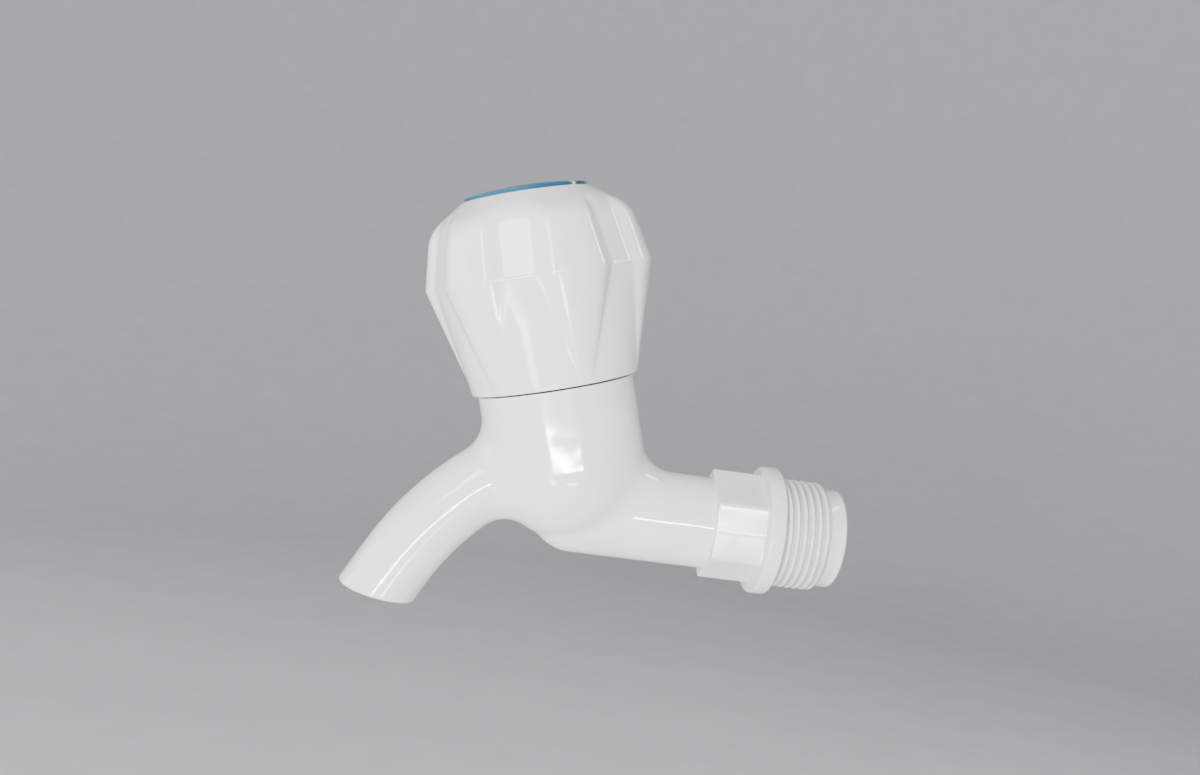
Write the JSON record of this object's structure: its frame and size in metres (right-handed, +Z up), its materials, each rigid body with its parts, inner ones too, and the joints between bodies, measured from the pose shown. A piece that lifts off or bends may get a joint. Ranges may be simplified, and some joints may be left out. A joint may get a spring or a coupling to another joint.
{
  "type": "bib tap",
  "caption": "White plastic bib tap with a curved spout, a threaded inlet with a hexagon and flange, and a lobed screw-down knob.",
  "frame": {"origin": "on the inlet's axis, at the flange's face that meets the wall", "axes": "+X along the inlet into the wall, +Z up, the spout reaches out to -X"},
  "size_m": [0.1173, 0.0532, 0.1041],
  "materials": {
    "body_plastic": "glossy moulded white plastic",
    "adaptor_plastic": "glossy moulded white plastic, slightly greyer",
    "knob_plastic": "glossy moulded white plastic",
    "disc_blue": "glossy blue plastic",
    "head_plastic": "moulded off-white plastic",
    "rubber": "black rubber",
    "brass": "turned brass",
    "steel": "stainless steel"
  },
  "bodies": {
    "housing": {"tap_body": "body_plastic", "inlet_nipple": "adaptor_plastic", "bonnet": "head_plastic", "bonnet_gasket": "rubber", "gland_packing": "rubber", "gland_follower": "head_plastic", "gland_nut": "head_plastic"},
    "valve": {"jumper": "head_plastic", "seat_washer": "rubber", "washer_screw": "steel"},
    "handle": {"spindle": "brass", "knob": "knob_plastic", "knob_washer": "steel", "knob_screw": "steel", "index_disc": "disc_blue"}
  },
  "joints": [
    {"name": "valve_lift", "type": "slide", "parent": "housing", "child": "valve", "axis": [-0.2982, 0, 0.9545], "range_m": [0, 0.00601]},
    {"name": "knob_turn", "type": "hinge", "parent": "valve", "child": "handle", "pos_m": [-0.05223, 0, 0.01193], "axis": [-0.2982, 0, 0.9545], "range_deg": [0, 864]}
  ],
  "couplings": [
    {"joint": "valve_lift", "follows": "knob_turn", "m_per_rad": 0.00039789}
  ]
}
